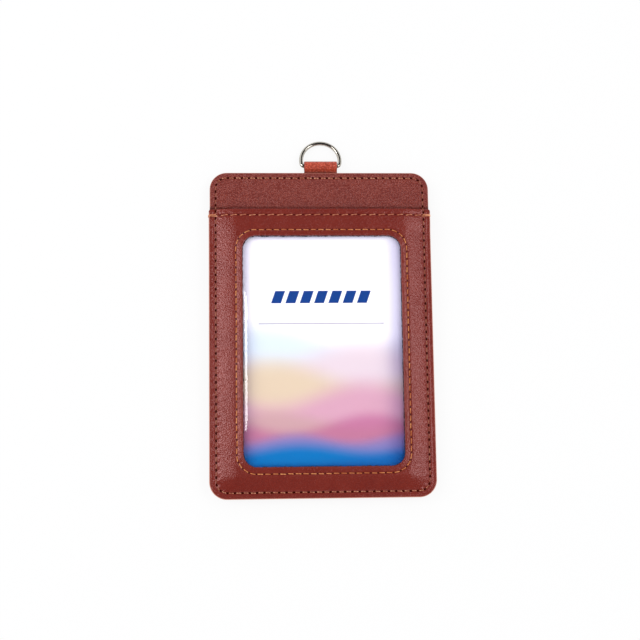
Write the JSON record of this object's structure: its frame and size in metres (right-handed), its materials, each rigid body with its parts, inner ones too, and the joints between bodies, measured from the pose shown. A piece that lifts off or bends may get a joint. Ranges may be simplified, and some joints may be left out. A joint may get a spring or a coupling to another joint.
{
  "type": "badge holder",
  "caption": "Vertical leather badge holder: stitched window pocket with a clear film, a card that slides out at the top, a back slot with a thumb notch, and a D-ring that swings in a strap.",
  "frame": {"origin": "middle of the flat back face, with the holder lying on its back", "axes": "+Z out of the front, through the window; +Y along the length, towards the ring; +X to the right, seen from the front"},
  "size_m": [0.075, 0.1218, 0.0068],
  "materials": {
    "body_leather": "fine grained, satin, red-brown",
    "strap_leather": "fine grained, satin, brick red",
    "core_board": "matt, pressed fibre",
    "clear_film": "clear and glossy",
    "printed_paper": "coated, pastel print",
    "ring_metal": "bright nickel plate",
    "seam_thread": "twisted, tan"
  },
  "bodies": {
    "holder": {"window_panel": "body_leather", "centre_panel": "body_leather", "back_panel": "body_leather", "back_pocket_panel": "body_leather", "strap_loop": "strap_leather", "core_board": "core_board", "window_film": "clear_film", "edge_seam_thread": "seam_thread", "mouth_seam_thread": "seam_thread", "window_seam_thread": "seam_thread"},
    "ring": {"d_ring": "ring_metal"},
    "card": {"insert_card": "printed_paper"}
  },
  "joints": [
    {"name": "ring_swing", "type": "hinge", "parent": "holder", "child": "ring", "pos_m": [0.0006, 0.05768, 0.0026], "axis": [1, 0, 0], "range_deg": [-104, 126]},
    {"name": "card_slide", "type": "slide", "parent": "holder", "child": "card", "axis": [0, 1, 0], "range_m": [0, 0.118]}
  ]
}
